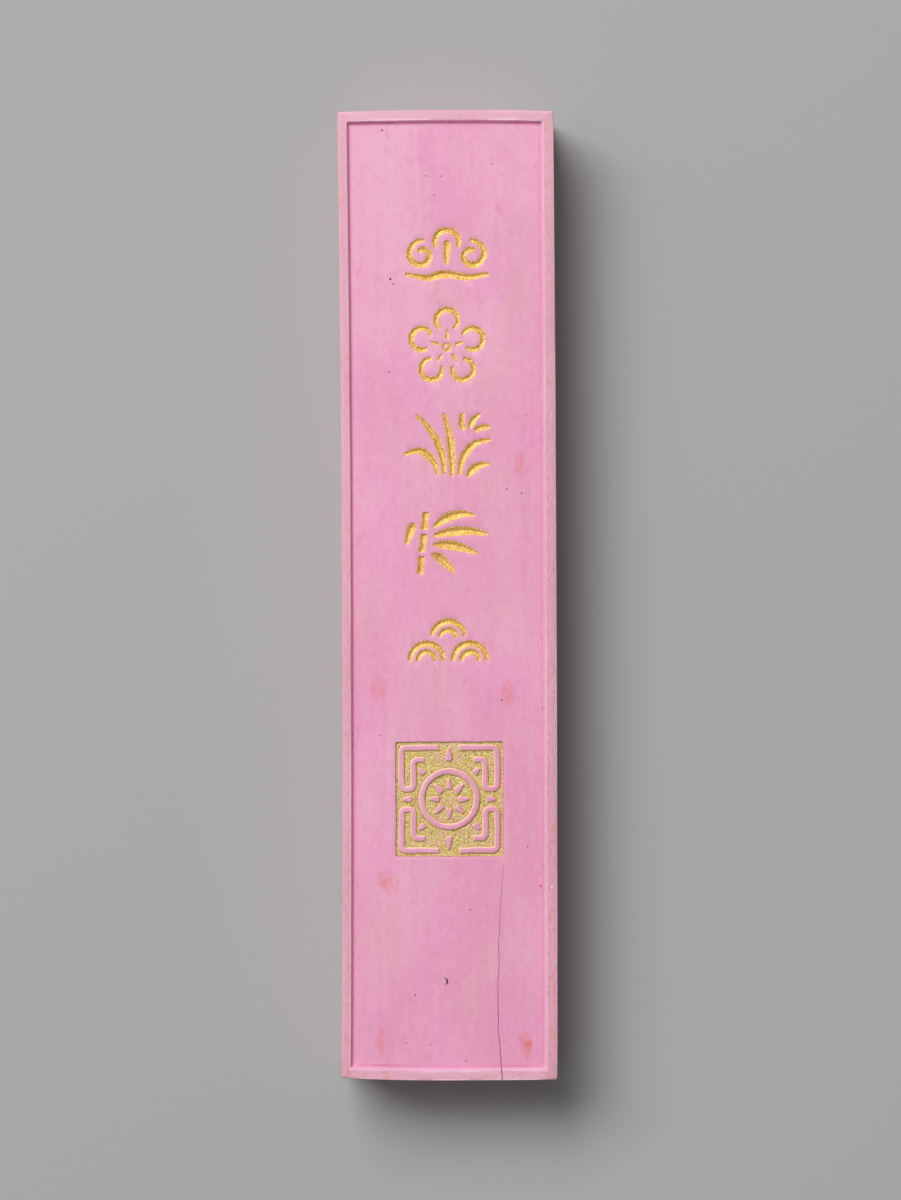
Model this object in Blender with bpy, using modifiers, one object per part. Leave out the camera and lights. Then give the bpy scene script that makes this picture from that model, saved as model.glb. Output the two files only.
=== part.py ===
"""A moulded ink stick with gilded ornament, lying on its back.

The stick is one pressed block of coloured ink. Each broad face has a narrow raised rim round a
sunk panel. The front panel is engraved with a column of five ornaments (cloud, plum blossom,
orchid, bamboo, waves) over a square medallion, and every engraved stroke holds a film of gold paint.

Units are metres. +X is the stick's right, +Y its head and +Z its front face. The origin is at the
middle of the underside.
"""

import math

import bmesh
import bpy

OBJECT_NAME = "ink_stick"

# The pressed block
STICK_LENGTH = 0.0971
STICK_WIDTH = 0.02175
STICK_THICKNESS = 0.0094
HEAD_BOW = 0.00012
FOOT_BOW = 0.00028
EDGE_RADIUS = 0.00022
RIM_WIDTH = 0.0009
END_RIM_WIDTH = 0.00103
PANEL_DEPTH = 0.00045
PANEL_WALL_RUN = 0.00016
PANEL_EDGE_CHAMFER = 0.00006

# The engraved strokes, and the gold in them, at a swell of 1
STROKE_WIDTH = 0.0009
GROOVE_DEPTH = 0.00032
GROOVE_WALL_RUN = 0.00026
GILT_FILM = 0.00009
GILT_CLEARANCE = 0.00003
GILT_DROP = 0.00004

# Least and most swell along a stroke
LEAF_SWELL = (0.45, 1.0)
FLOWER_SWELL = (0.45, 0.9)
BAMBOO_SWELL = (0.45, 1.2)
STAMEN_SWELL = (0.34, 0.5)
ARC_SWELL = (0.55, 0.85)
PETAL_SWELL = (0.55, 0.78)
RIPPLE_SWELL = (0.55, 0.75)
TAIL_SWELL = (0.5, 1.0)
BUD_SWELL = (0.4, 1.05)
HEART_SWELL = 0.42
LEAF_LEAN = 0.8
ARC_EASE = 0.5

# The column of ornaments, from the head down
HEAD_MARGIN = 0.0139
ORNAMENT_PITCH = 0.0098

# Cloud
CROWN_RADIUS = 0.00125
CROWN_RISE = 0.0007
CURL_SPACING = 0.00255
CURL_DROP = 0.00055
CURL_RADIUS = 0.0015
CURL_INNER_RADIUS = 0.00045
CURL_START = math.radians(80.0)
CURL_TURN = math.radians(415.0)
CROWN_DIP = math.radians(25.0)
CLOUD_TAIL_REACH = 0.0042
CLOUD_TAIL_DROP = 0.00265
CLOUD_TAIL_WAVE = 0.00016
CLOUD_TAIL_WAVES = 2
CLOUD_DROP_TOP = 0.0009
CLOUD_DROP_FOOT = -0.0015

# Plum blossom
PETAL_COUNT = 5
PETAL_RING_RADIUS = 0.0027
PETAL_RADIUS = 0.0011
PETAL_OPENING = math.radians(140.0)
STAMEN_START = 0.0009
STAMEN_END = 0.0017
PLUM_HEART_RADIUS = 0.00036

# Orchid: root, bend and tip of each leaf and each petal, from the ornament's centre
ORCHID_LEAVES = (
    ((-0.0009, -0.0030), (-0.0019, 0.0004), (-0.0044, -0.0009)),
    ((-0.00025, -0.0029), (-0.0005, 0.0009), (-0.0032, 0.0030)),
    ((0.00045, -0.0031), (0.0006, 0.0004), (-0.0004, 0.0032)),
    ((0.00115, -0.0030), (0.0015, 0.0006), (0.0044, 0.0005)),
    ((0.0020, -0.0032), (0.0026, -0.0019), (0.0042, -0.0019)),
)
ORCHID_PETALS = (
    ((0.00175, 0.00145), (0.0012, 0.0022), (0.0016, 0.0032)),
    ((0.00225, 0.0017), (0.0024, 0.0026), (0.0033, 0.0031)),
    ((0.00275, 0.0014), (0.0034, 0.0019), (0.0043, 0.00175)),
)

# Bamboo: the cane's foot and head, and root, bend and tip of each leaf
CANE_FOOT = (-0.0029, -0.0033)
CANE_HEAD = (-0.0022, 0.0033)
CANE_JOINTS = 3
CANE_JOINT_GAP = 0.0004
CANE_SWELLS = ((0.0, 0.8), (0.1, 1.0), (0.5, 0.8), (0.9, 1.0), (1.0, 0.8))
BAMBOO_LEAVES = (
    ((-0.0014, 0.0016), (0.0004, 0.0033), (0.0027, 0.0028)),
    ((-0.0014, 0.0007), (0.0010, 0.0016), (0.0040, 0.0009)),
    ((-0.0015, -0.0002), (0.0006, 0.0001), (0.0029, -0.0011)),
    ((-0.0017, -0.0011), (-0.0004, -0.0015), (0.0006, -0.0030)),
    ((-0.0034, 0.0020), (-0.0039, 0.0012), (-0.0042, -0.0001)),
)

# Waves
WAVE_SPACING = 0.0022
WAVE_ROW_RISE = 0.0022
WAVE_BASE = -0.0020
WAVE_OUTER_RADIUS = 0.00175
WAVE_INNER_RADIUS = 0.0009
WAVE_TUCK = math.radians(12.0)

# Square medallion: a sunk gilded ground with raised lines
MEDALLION_WIDTH = 0.0109
MEDALLION_HEIGHT = 0.0115
MEDALLION_PITCH = 0.01585
MEDALLION_DEPTH = 0.0003
MEDALLION_CORNER_RADIUS = 0.0002
RIDGE_WIDTH = 0.0006
RIDGE_DRAFT = 0.00006
FRET_MARGIN = 0.0006
FRET_PITCH = 0.00122
FRET_END_GAP = 0.001
FRET_CORNER_RADIUS = 0.00045
RING_GAP = 0.00023
BLOOM_COUNT = 8
BLOOM_START = 0.00095
BLOOM_GAP = 0.00045
BUD_GAP = 0.0007
BUD_MARGIN = 0.0007
CORNER_BUD_GAP = 0.00045
CORNER_BUD_MARGIN = 0.00025

# Fineness of the facets, and how far a cutter runs past what it cuts
END_FACETS = 8
EDGE_SEGMENTS = 2
LEAF_STATIONS = 7
ARC_STATIONS = 9
SPIRAL_STATIONS = 16
RING_STATIONS = 24
HEART_STATIONS = 10
CORNER_STATIONS = 3
OVERCUT = 0.0003
WELD_DISTANCE = 0.000001
PANEL_BEVEL_ANGLE = math.radians(40.0)

# Worked out: the panel's floor, and the ring that the frets leave room for
PANEL_Z = STICK_THICKNESS - PANEL_DEPTH
FRET_ROOM = min(MEDALLION_WIDTH, MEDALLION_HEIGHT) / 2 - FRET_MARGIN - FRET_PITCH - RIDGE_WIDTH / 2
RING_OUTSIDE = FRET_ROOM - RING_GAP
RING_RADIUS = RING_OUTSIDE - RIDGE_WIDTH / 2
RING_INSIDE = RING_RADIUS - RIDGE_WIDTH / 2

INK_PINK = (0.783, 0.352, 0.518, 1.0)
INK_ROUGHNESS = 0.62
GOLD = (0.72, 0.46, 0.13, 1.0)
GOLD_ROUGHNESS = 0.45
GOLD_METALLIC = 0.8


def clear_scene():
    """Remove every object that the scene starts with."""
    for obj in list(bpy.data.objects):
        bpy.data.objects.remove(obj)


def new_collection(name):
    """A collection of this name in the scene."""
    collection = bpy.data.collections.new(name)
    bpy.context.scene.collection.children.link(collection)
    return collection


def new_material(name, colour, roughness, metallic):
    """A Principled material of one colour."""
    material = bpy.data.materials.new(name)
    material.use_nodes = True
    shader = material.node_tree.nodes["Principled BSDF"]
    shader.inputs["Base Color"].default_value = colour
    shader.inputs["Roughness"].default_value = roughness
    shader.inputs["Metallic"].default_value = metallic
    return material


def mark_helper(obj):
    """Keep a cutter or a guide out of the finished part."""
    obj.hide_render = True
    obj.display_type = "WIRE"


def new_empty(name, location, collection):
    """An empty that places the pieces parented to it."""
    empty = bpy.data.objects.new(name, None)
    empty.location = location
    collection.objects.link(empty)
    bpy.context.view_layer.update()
    return empty


def block_outline(side_inset, end_inset):
    """Plan outline of the stick with its bowed ends, drawn in by the insets, anticlockwise."""
    half_width = STICK_WIDTH / 2 - side_inset
    half_length = STICK_LENGTH / 2 - end_inset
    outline = []
    for side, bow in ((1, HEAD_BOW), (-1, FOOT_BOW)):
        for step in range(END_FACETS + 1):
            across = 1 - 2 * step / END_FACETS
            outline.append((side * half_width * across, side * (half_length - bow * across**2)))
    return outline


def frustum(name, lower, upper, low_z, high_z, collection):
    """A solid between two outlines with as many points, at two heights."""
    mesh = bpy.data.meshes.new(name)
    bm = bmesh.new()
    for outline, z in ((lower, low_z), (upper, high_z)):
        bm.faces.new([bm.verts.new((x, y, z)) for x, y in outline])
    bmesh.ops.bridge_loops(bm, edges=bm.edges[:])
    bmesh.ops.recalc_face_normals(bm, faces=bm.faces)
    bm.to_mesh(mesh)
    bm.free()
    obj = bpy.data.objects.new(name, mesh)
    collection.objects.link(obj)
    return obj


def add_difference(obj, cutter):
    """Cut an object, or all objects of a collection, from a mesh object."""
    boolean = obj.modifiers.new(f"cut {cutter.name}", "BOOLEAN")
    boolean.operation = "DIFFERENCE"
    boolean.solver = "EXACT"
    if isinstance(cutter, bpy.types.Collection):
        boolean.operand_type = "COLLECTION"
        boolean.collection = cutter
    else:
        boolean.object = cutter


def add_bevel(obj, width, segments, least_angle):
    """Round or chamfer the edges of a mesh object that are sharper than an angle."""
    bevel = obj.modifiers.new("rounded edges", "BEVEL")
    bevel.width = width
    bevel.segments = segments
    bevel.limit_method = "ANGLE"
    bevel.angle_limit = least_angle


def section_curve(name, points, collection):
    """A closed outline, across and up, that a stroke carries along its path."""
    curve = bpy.data.curves.new(name, "CURVE")
    curve.dimensions = "2D"
    curve.fill_mode = "NONE"
    spline = curve.splines.new("POLY")
    spline.points.add(len(points) - 1)
    for point, (across, up) in zip(spline.points, points):
        point.co = (across, up, 0.0, 1.0)
    spline.use_cyclic_u = True
    obj = bpy.data.objects.new(name, curve)
    mark_helper(obj)
    collection.objects.link(obj)
    return obj


def trough(inset, top):
    """Outline of a groove's inside, from its left edge to its right, drawn in by the inset."""
    half_width = STROKE_WIDTH / 2 - inset
    depth = GROOVE_DEPTH - inset
    shoulder = math.sqrt(0.5)
    right = [
        (half_width, top),
        (half_width - GROOVE_WALL_RUN * (1 - shoulder), -depth * shoulder),
        (half_width - GROOVE_WALL_RUN, -depth),
    ]
    left = [(-x, y) for x, y in right]
    return left + right[::-1]


def groove_section(collection):
    """Section of the engraved groove, closed above the panel."""
    return section_curve("groove_section", trough(0.0, OVERCUT), collection)


def gilt_section(collection):
    """Section of the gold film that lines the groove."""
    outside = trough(GILT_CLEARANCE, -GILT_DROP)
    lined = trough(GILT_CLEARANCE + GILT_FILM, -GILT_DROP)
    inside = [point for point in lined if point[1] in (lined[0][1], lined[2][1])]
    return section_curve("gilt_section", inside + outside[::-1], collection)


def ridge_section(name, grow, collection):
    """Section of a raised line of the medallion, from below its ground to above the panel."""
    slope = RIDGE_DRAFT / MEDALLION_DEPTH
    top = OVERCUT * 2
    foot = -MEDALLION_DEPTH - OVERCUT
    half_top = RIDGE_WIDTH / 2 + grow - slope * top
    half_foot = RIDGE_WIDTH / 2 + grow - slope * foot
    outline = [(-half_top, top), (-half_foot, foot), (half_foot, foot), (half_top, top)]
    return section_curve(name, outline, collection)


def swept(name, path, section, parent, collection):
    """A curve that carries a section along a path of (x, y, swell) points."""
    closed = path[0] == path[-1]
    points = path[:-1] if closed else path
    curve = bpy.data.curves.new(name, "CURVE")
    curve.dimensions = "3D"
    curve.twist_mode = "Z_UP"
    curve.bevel_mode = "OBJECT"
    curve.bevel_object = section
    curve.use_fill_caps = not closed
    spline = curve.splines.new("POLY")
    spline.points.add(len(points) - 1)
    for point, (x, y, swell) in zip(spline.points, points):
        point.co = (x, y, 0.0, 1.0)
        point.radius = swell
    spline.use_cyclic_u = closed
    obj = bpy.data.objects.new(name, curve)
    obj.parent = parent
    collection.objects.link(obj)
    return obj


def made_mesh(curve_object, collection):
    """A welded mesh cutter of a swept curve, which it replaces."""
    bpy.context.view_layer.update()
    graph = bpy.context.evaluated_depsgraph_get()
    mesh = bpy.data.meshes.new_from_object(curve_object.evaluated_get(graph))
    bm = bmesh.new()
    bm.from_mesh(mesh)
    bmesh.ops.remove_doubles(bm, verts=bm.verts, dist=WELD_DISTANCE)
    bmesh.ops.recalc_face_normals(bm, faces=bm.faces)
    bm.to_mesh(mesh)
    bm.free()
    cutter = bpy.data.objects.new(f"{curve_object.name}_cutter", mesh)
    cutter.matrix_world = curve_object.matrix_world
    mark_helper(cutter)
    collection.objects.link(cutter)
    bpy.data.objects.remove(curve_object)
    return cutter


def leaf(root, bend, tip, swell=LEAF_SWELL):
    """Path of a brushed leaf: a bent stroke, fullest before its middle and fine at the tip."""
    least, most = swell
    path = []
    for step in range(LEAF_STATIONS):
        t = step / (LEAF_STATIONS - 1)
        x, y = ((1 - t) ** 2 * a + 2 * t * (1 - t) * b + t**2 * c for a, b, c in zip(root, bend, tip))
        fullness = math.sin(math.pi * t**LEAF_LEAN)
        path.append((x, y, least + (most - least) * fullness))
    return path


def arc(centre, radius, start, end, swell=ARC_SWELL, inner=None, stations=ARC_STATIONS):
    """Path along an arc, or along a spiral that ends at an inner radius, with eased ends."""
    least, most = swell
    last = radius if inner is None else inner
    path = []
    for step in range(stations):
        t = step / (stations - 1)
        angle = start + (end - start) * t
        reach = radius + (last - radius) * t
        fullness = math.sin(math.pi * t) ** ARC_EASE if 0 < t < 1 else 0.0
        x = centre[0] + reach * math.cos(angle)
        y = centre[1] + reach * math.sin(angle)
        path.append((x, y, least + (most - least) * fullness))
    return path


def spoke(angle, start, end, swell):
    """Path of a straight leaf that points away from the ornament's centre."""
    near, far = ((reach * math.cos(angle), reach * math.sin(angle)) for reach in (start, end))
    return leaf(near, near, far, swell)


def ring(radius, swell, stations=RING_STATIONS):
    """Closed round path about the ornament's centre."""
    path = []
    for step in range(stations):
        angle = 2 * math.pi * step / stations
        path.append((radius * math.cos(angle), radius * math.sin(angle), swell))
    return path + path[:1]


def cloud():
    """Strokes of a cloud: a crown between two curls, a drop below it and a trailing line."""
    left_curl = arc(
        (-CURL_SPACING, -CURL_DROP),
        CURL_RADIUS,
        CURL_START,
        CURL_START + CURL_TURN,
        inner=CURL_INNER_RADIUS,
        stations=SPIRAL_STATIONS,
    )
    least, most = TAIL_SWELL
    tail = []
    for step in range(SPIRAL_STATIONS):
        t = step / (SPIRAL_STATIONS - 1)
        x = CLOUD_TAIL_REACH * (2 * t - 1)
        y = -CLOUD_TAIL_DROP + CLOUD_TAIL_WAVE * math.cos(2 * math.pi * CLOUD_TAIL_WAVES * t)
        tail.append((x, y, least + (most - least) * math.sin(math.pi * t)))
    return {
        "crown": arc((0.0, CROWN_RISE), CROWN_RADIUS, math.pi + CROWN_DIP, -CROWN_DIP),
        "left_curl": left_curl,
        "right_curl": [(-x, y, swell) for x, y, swell in left_curl],
        "drop": leaf((0.0, CLOUD_DROP_TOP), (0.0, CROWN_RISE), (0.0, CLOUD_DROP_FOOT)),
        "tail": tail,
    }


def plum():
    """Strokes of a plum blossom: outlined petals, stamens and a ring at the heart."""
    strokes = {"heart": ring(PLUM_HEART_RADIUS, HEART_SWELL, HEART_STATIONS)}
    for petal in range(PETAL_COUNT):
        angle = math.pi / 2 + 2 * math.pi * petal / PETAL_COUNT
        centre = (PETAL_RING_RADIUS * math.cos(angle), PETAL_RING_RADIUS * math.sin(angle))
        opening = (angle - PETAL_OPENING, angle + PETAL_OPENING)
        strokes[f"petal_{petal + 1}"] = arc(centre, PETAL_RADIUS, *opening, PETAL_SWELL)
        strokes[f"stamen_{petal + 1}"] = spoke(angle, STAMEN_START, STAMEN_END, STAMEN_SWELL)
    return strokes


def orchid():
    """Strokes of an orchid: five long leaves and a flower of three petals."""
    strokes = {f"leaf_{i}": leaf(*points) for i, points in enumerate(ORCHID_LEAVES, 1)}
    for i, points in enumerate(ORCHID_PETALS, 1):
        strokes[f"petal_{i}"] = leaf(*points, FLOWER_SWELL)
    return strokes


def bamboo():
    """Strokes of a bamboo: a jointed cane and five pointed leaves."""
    strokes = {f"leaf_{i}": leaf(*points, BAMBOO_SWELL) for i, points in enumerate(BAMBOO_LEAVES, 1)}
    run = [head - foot for foot, head in zip(CANE_FOOT, CANE_HEAD)]
    gap = CANE_JOINT_GAP / 2 / math.hypot(*run)
    for joint in range(CANE_JOINTS):
        start = joint / CANE_JOINTS + gap
        end = (joint + 1) / CANE_JOINTS - gap
        path = []
        for share, swell in CANE_SWELLS:
            along = start + (end - start) * share
            path.append((CANE_FOOT[0] + run[0] * along, CANE_FOOT[1] + run[1] * along, swell))
        strokes[f"cane_{joint + 1}"] = path
    return strokes


def waves():
    """Strokes of three waves, each of two arcs: two below and one behind them."""
    centres = {
        "left": (-WAVE_SPACING, WAVE_BASE),
        "right": (WAVE_SPACING, WAVE_BASE),
        "upper": (0.0, WAVE_BASE + WAVE_ROW_RISE),
    }
    strokes = {}
    for name, centre in centres.items():
        tuck = WAVE_TUCK if name == "upper" else 0.0
        strokes[f"{name}_crest"] = arc(centre, WAVE_OUTER_RADIUS, math.pi - tuck, tuck)
        strokes[f"{name}_ripple"] = arc(centre, WAVE_INNER_RADIUS, math.pi - tuck, tuck, RIPPLE_SWELL)
    return strokes


def rounded_path(corners, radius):
    """Path through corner points, with an arc of the radius at each square turn."""
    path = [(*corners[0], 1.0)]
    for before, corner, after in zip(corners, corners[1:], corners[2:]):
        arrive = [math.copysign(1, c - b) if c != b else 0 for b, c in zip(before, corner)]
        leave = [math.copysign(1, a - c) if a != c else 0 for c, a in zip(corner, after)]
        for step in range(CORNER_STATIONS + 1):
            turn = math.pi / 2 * step / CORNER_STATIONS
            back = radius * (1 - math.sin(turn))
            onward = radius * (1 - math.cos(turn))
            x, y = (c - a * back + d * onward for c, a, d in zip(corner, arrive, leave))
            path.append((x, y, 1.0))
    path.append((*corners[-1], 1.0))
    return path


def medallion_lines():
    """Paths of the medallion's raised lines outside its ring, and of those inside it."""
    outside = {}
    edge = (MEDALLION_WIDTH / 2 - FRET_MARGIN, MEDALLION_HEIGHT / 2 - FRET_MARGIN)
    hook = [
        (FRET_END_GAP, edge[1]),
        (edge[0], edge[1]),
        (edge[0], FRET_END_GAP),
        (edge[0] - FRET_PITCH, FRET_END_GAP),
        (edge[0] - FRET_PITCH, edge[1] - FRET_PITCH),
        (edge[0] - 2 * FRET_PITCH, edge[1] - FRET_PITCH),
    ]
    for side_x, side_y in ((1, 1), (-1, 1), (-1, -1), (1, -1)):
        corners = [(side_x * x, side_y * y) for x, y in hook]
        outside[f"fret_{len(outside) + 1}"] = rounded_path(corners, FRET_CORNER_RADIUS)
    quarter = math.pi / 2
    for side in range(4):
        size = MEDALLION_HEIGHT if side % 2 else MEDALLION_WIDTH
        ends = (RING_OUTSIDE + BUD_GAP, size / 2 - BUD_MARGIN)
        outside[f"bud_{side + 1}"] = spoke(side * quarter, *ends, BUD_SWELL)
        ends = (RING_OUTSIDE + CORNER_BUD_GAP, math.sqrt(2.0) * (FRET_ROOM - CORNER_BUD_MARGIN))
        outside[f"corner_bud_{side + 1}"] = spoke((side + 0.5) * quarter, *ends, BUD_SWELL)
    inside = {}
    for petal in range(BLOOM_COUNT):
        angle = quarter + 2 * math.pi * petal / BLOOM_COUNT
        inside[f"bloom_{petal + 1}"] = spoke(angle, BLOOM_START, RING_INSIDE - BLOOM_GAP, BUD_SWELL)
    return outside, inside


ORNAMENTS = {"cloud": cloud, "plum": plum, "orchid": orchid, "bamboo": bamboo, "waves": waves}


def build_block(groups, ink):
    """The pressed block: rounded slab, sunk panel on both faces, engraving and medallion field."""
    slab = block_outline(0.0, 0.0)
    block = frustum("ink_block", slab, slab, 0.0, STICK_THICKNESS, groups["part"])
    block.data.materials.append(ink)
    add_bevel(block, EDGE_RADIUS, EDGE_SEGMENTS, PANEL_BEVEL_ANGLE)
    slope = PANEL_WALL_RUN / PANEL_DEPTH
    panel = block_outline(RIM_WIDTH + PANEL_WALL_RUN, END_RIM_WIDTH + PANEL_WALL_RUN)
    mouth = block_outline(RIM_WIDTH - slope * OVERCUT, END_RIM_WIDTH - slope * OVERCUT)
    top = STICK_THICKNESS + OVERCUT
    for name, heights in (("front_panel", (PANEL_Z, top)), ("back_panel", (PANEL_DEPTH, -OVERCUT))):
        cutter = frustum(name, panel, mouth, *heights, groups["cutters"])
        mark_helper(cutter)
        add_difference(block, cutter)
    add_bevel(block, PANEL_EDGE_CHAMFER, 1, PANEL_BEVEL_ANGLE)
    add_difference(block, groups["grooves"])


def build_ornament(name, strokes, parent, sections, groups, gold):
    """Engrave the strokes of one ornament, and line each with gold."""
    for stroke, path in strokes.items():
        groove = swept(f"{name}_{stroke}_groove", path, sections["groove"], parent, groups["cutters"])
        made_mesh(groove, groups["grooves"])
        film = swept(f"gilt_{name}_{stroke}", path, sections["gilt"], parent, groups["part"])
        film.data.materials.append(gold)


def medallion_outline(inset):
    """Plan outline of the medallion with its rounded corners, drawn in by the inset."""
    half = (MEDALLION_WIDTH / 2 - inset, MEDALLION_HEIGHT / 2 - inset)
    radius = MEDALLION_CORNER_RADIUS
    outline = []
    for quarter, (side_x, side_y) in enumerate(((1, 1), (-1, 1), (-1, -1), (1, -1))):
        for step in range(CORNER_STATIONS + 1):
            angle = math.pi / 2 * (quarter + step / CORNER_STATIONS)
            x = side_x * (half[0] - radius) + radius * math.cos(angle)
            y = side_y * (half[1] - radius) + radius * math.sin(angle)
            outline.append((x, y))
    return outline


def disc_outline(radius):
    """Plan outline of a disc about the medallion's centre."""
    return [(x, y) for x, y, _ in ring(radius, 1.0)[:-1]]


def build_medallion(parent, groups, gold):
    """Sink the square field round its raised lines, and gild the ground outside and inside the ring."""
    outside, inside = medallion_lines()
    floor = -MEDALLION_DEPTH
    outline = medallion_outline(0.0)
    field = frustum("medallion_field_cutter", outline, outline, floor, OVERCUT, groups["grooves"])
    ring_half = RIDGE_WIDTH / 2 + RIDGE_DRAFT + GILT_CLEARANCE
    grounds = {
        "gilt_medallion_field": (outside, medallion_outline(GILT_CLEARANCE)),
        "gilt_medallion_eye": (inside, disc_outline(RING_RADIUS - ring_half)),
    }
    plain = ridge_section("ridge_section", 0.0, groups["cutters"])
    grown = ridge_section("grown_ridge_section", GILT_CLEARANCE, groups["cutters"])
    for name, path in {"ring": ring(RING_RADIUS, 1.0), **outside, **inside}.items():
        line = swept(f"{name}_line", path, plain, parent, groups["cutters"])
        made_mesh(line, groups["ridges"])
    field.parent = parent
    mark_helper(field)
    add_difference(field, groups["ridges"])
    for name, (lines, outline) in grounds.items():
        low = floor + GILT_CLEARANCE
        ground = frustum(name, outline, outline, low, low + GILT_FILM, groups["part"])
        ground.parent = parent
        ground.data.materials.append(gold)
        room = new_collection(f"{name}_room")
        if name == "gilt_medallion_field":
            hole = disc_outline(RING_RADIUS + ring_half)
            disc = frustum("ring_room", hole, hole, floor - OVERCUT, OVERCUT, room)
            disc.parent = parent
            mark_helper(disc)
        for line, path in lines.items():
            made_mesh(swept(f"{line}_room", path, grown, parent, groups["cutters"]), room)
        add_difference(ground, room)


def main():
    """Build the stick."""
    clear_scene()
    groups = {
        "part": new_collection(OBJECT_NAME),
        "cutters": new_collection("cutters"),
        "grooves": new_collection("groove_cutters"),
        "ridges": new_collection("ridge_cutters"),
    }
    ink = new_material("pink ink", INK_PINK, INK_ROUGHNESS, 0.0)
    gold = new_material("gold paint", GOLD, GOLD_ROUGHNESS, GOLD_METALLIC)
    sections = {"groove": groove_section(groups["cutters"]), "gilt": gilt_section(groups["cutters"])}
    y = STICK_LENGTH / 2 - HEAD_MARGIN
    for name, strokes in ORNAMENTS.items():
        centre = new_empty(f"{name}_centre", (0.0, y, PANEL_Z), groups["part"])
        build_ornament(name, strokes(), centre, sections, groups, gold)
        y -= ORNAMENT_PITCH
    y -= MEDALLION_PITCH - ORNAMENT_PITCH
    centre = new_empty("medallion_centre", (0.0, y, PANEL_Z), groups["part"])
    build_medallion(centre, groups, gold)
    build_block(groups, ink)


if __name__ == "__main__":
    main()
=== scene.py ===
"""Looks of a moulded ink stick: dressed block, gilding, floor, light and camera.

The block and every film of gold are refined copies of their CAD nodes. Lengths are in metres, in the frame
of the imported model: +X to the stick's right, +Y to its head and +Z out of its front face. Sizes of patterns
and places of marks are in millimetres.
"""

import logging
import math
from collections.abc import Callable
from dataclasses import dataclass
from enum import Enum

import bmesh
import bpy
from mathutils import Matrix, Vector, noise


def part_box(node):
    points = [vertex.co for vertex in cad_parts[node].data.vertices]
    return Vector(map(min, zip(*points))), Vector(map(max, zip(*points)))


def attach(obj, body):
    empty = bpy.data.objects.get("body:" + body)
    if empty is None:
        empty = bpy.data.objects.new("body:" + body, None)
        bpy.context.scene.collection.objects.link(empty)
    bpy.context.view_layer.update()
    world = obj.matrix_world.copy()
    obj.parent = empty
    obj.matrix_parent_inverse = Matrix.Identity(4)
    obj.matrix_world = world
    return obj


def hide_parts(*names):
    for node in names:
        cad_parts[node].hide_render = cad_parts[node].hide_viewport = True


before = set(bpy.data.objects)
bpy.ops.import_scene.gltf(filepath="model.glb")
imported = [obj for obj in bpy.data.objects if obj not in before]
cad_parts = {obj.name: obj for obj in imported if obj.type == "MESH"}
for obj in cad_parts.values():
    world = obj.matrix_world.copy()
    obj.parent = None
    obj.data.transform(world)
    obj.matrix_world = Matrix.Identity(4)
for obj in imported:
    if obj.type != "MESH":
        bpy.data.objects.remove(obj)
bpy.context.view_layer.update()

LOG = logging.getLogger("ink_stick")
NOISE_SEED = 7
NOISE_MIDDLE = 0.5
MM = 0.001
BODY = "root"
BLOCK_NODE = "ink_block"
GILT_PREFIX = "gilt_"
GROUND_PREFIX = "gilt_medallion"
MASKS = ("rim", "end", "lit_wall", "lit_foot_dirt_and_shade", "shaded_seam_bounce_light", "arris", "gilt", "pit_shade")

Triple = tuple[float, float, float]
Colour = Triple
Reach = tuple[float, float]
Route = tuple[tuple[float, float], ...]


class Slot(Enum):
    """Material slots of the record."""

    INK = "pink_ink"
    GOLD = "gold_paint"


class Gilding(Enum):
    """Where a film of gold lies."""

    STROKE = "engraved stroke"
    GROUND = "sunk ground"


def srgb(red: int, green: int, blue: int) -> Colour:
    """Linear colour of an 8-bit display colour.

    Args:
        red: Red, 0 to 255.
        green: Green, 0 to 255.
        blue: Blue, 0 to 255.

    Returns:
        The three linear values.
    """
    values = (channel / 255.0 for channel in (red, green, blue))
    return tuple(v / 12.92 if v <= 0.04045 else ((v + 0.055) / 1.055) ** 2.4 for v in values)


def unevenness(point: Vector, rate: float) -> float:
    """Smooth noise from 0 to 1 at a point, the quicker the higher its rate per millimetre."""
    return NOISE_MIDDLE + NOISE_MIDDLE * noise.noise(point / MM * rate)


def baked(mesh: bmesh.types.BMesh, name: str) -> bpy.types.Mesh:
    """Finished data of a working mesh, which is freed."""
    data = bpy.data.meshes.new(name)
    mesh.to_mesh(data)
    mesh.free()
    return data


def placed(name: str, data: bpy.types.ID) -> bpy.types.Object:
    """A new object in the scene."""
    obj = bpy.data.objects.new(name, data)
    bpy.context.scene.collection.objects.link(obj)
    return obj


@dataclass(frozen=True)
class Pattern:
    """Cloudy noise of a finish.

    Attributes:
        size: Size of a blotch in millimetres.
        detail: Octaves of finer noise.
        fineness: How fine the noise is along each axis, where less draws it out.
        seed: Another value gives another pattern.
    """

    size: float
    detail: float = 3.0
    fineness: Triple = (1.0, 1.0, 1.0)
    seed: float = 0.0


@dataclass(frozen=True)
class Tint:
    """A colour that a varying value lays over another colour.

    Attributes:
        colour: The colour laid on.
        low: Value that lays on none of it.
        high: Value that lays on the most of it.
        strength: The most of it, 1 at full cover.
    """

    colour: Colour
    low: float
    high: float
    strength: float = 1.0


@dataclass(frozen=True)
class Specks:
    """Small round specks.

    Attributes:
        pitch: Distance between the cells that may hold a speck, in millimetres.
        share: Radius of a speck as a share of that distance.
        seed: Another value gives another pattern.
        strength: How much of the speck's colour shows.
    """

    pitch: float
    share: float
    seed: float
    strength: float


@dataclass(frozen=True)
class Spot:
    """One coloured spot on the front, with its place and its reach in millimetres.

    Attributes:
        x: Place of its middle across the stick.
        y: Place of its middle along the stick.
        across: How far it reaches across the stick.
        along: How far it reaches along the stick.
        colour: Its colour.
        strength: How much of that colour shows.
    """

    x: float
    y: float
    across: float
    along: float
    colour: Colour
    strength: float = 1.0


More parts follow.
